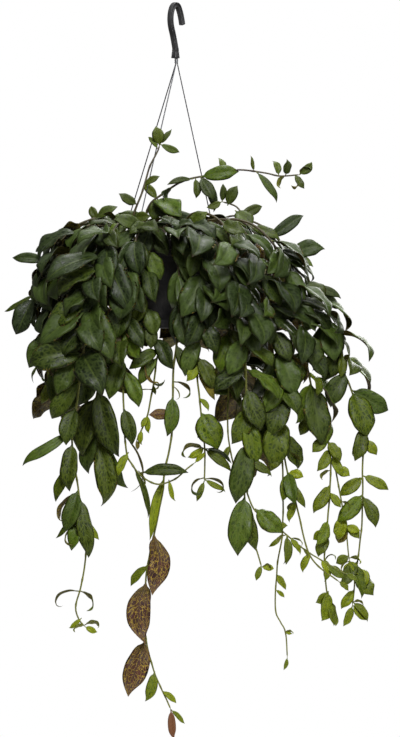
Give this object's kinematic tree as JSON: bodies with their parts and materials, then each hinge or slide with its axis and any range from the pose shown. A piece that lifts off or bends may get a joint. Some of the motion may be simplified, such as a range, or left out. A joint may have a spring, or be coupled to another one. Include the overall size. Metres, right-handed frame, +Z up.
{
  "type": "potted lipstick plant",
  "caption": "Trailing lipstick plant with mottled leaves in a dark hanging pot, held by a plastic hook and thin steel wires.",
  "frame": {"origin": "inside top of the hook, where it hangs on its support", "axes": "+Z up, -Y to the front of the plant, +X to the right seen from the front"},
  "size_m": [0.6044, 0.4681, 1.1743],
  "materials": {
    "hook_plastic": "moulded charcoal, satin",
    "ferrule_steel": "crimped, dull",
    "wire_steel": "drawn wire, dark",
    "pot_plastic": "moulded charcoal",
    "soil": "loose potting mix",
    "foliage": "waxy leaf, dark green above, mottled maroon below"
  },
  "bodies": {
    "root": {"hook": "hook_plastic", "pot": "pot_plastic", "soil": "soil", "stem_arch_right": "foliage", "stem_centre_left": "foliage", "stem_centre_long": "foliage", "stem_centre_right": "foliage", "stem_climber": "foliage", "stem_curtain_01": "foliage", "stem_curtain_02": "foliage", "stem_curtain_03": "foliage", "stem_curtain_04": "foliage", "stem_curtain_05": "foliage", "stem_curtain_06": "foliage", "stem_curtain_07": "foliage", "stem_curtain_08": "foliage", "stem_curtain_09": "foliage", "stem_curtain_10": "foliage", "stem_curtain_11": "foliage", "stem_curtain_12": "foliage", "stem_curtain_13": "foliage", "stem_curtain_14": "foliage", "stem_curtain_15": "foliage", "stem_curtain_16": "foliage", "stem_curtain_17": "foliage", "stem_curtain_18": "foliage", "stem_curtain_19": "foliage", "stem_curtain_20": "foliage", "stem_curtain_21": "foliage", "stem_left_edge": "foliage", "stem_left_front": "foliage", "stem_left_long": "foliage", "stem_loop": "foliage", "stem_right_column": "foliage", "stem_right_front": "foliage", "stem_right_outer": "foliage", "stem_right_thin": "foliage", "stem_shoulder_left": "foliage", "stem_shoulder_right": "foliage", "stem_sprig_right": "foliage", "wire_back_left": "wire_steel", "wire_ferrule": "ferrule_steel", "wire_front_left": "wire_steel", "wire_right": "wire_steel"}
  },
  "joints": []
}
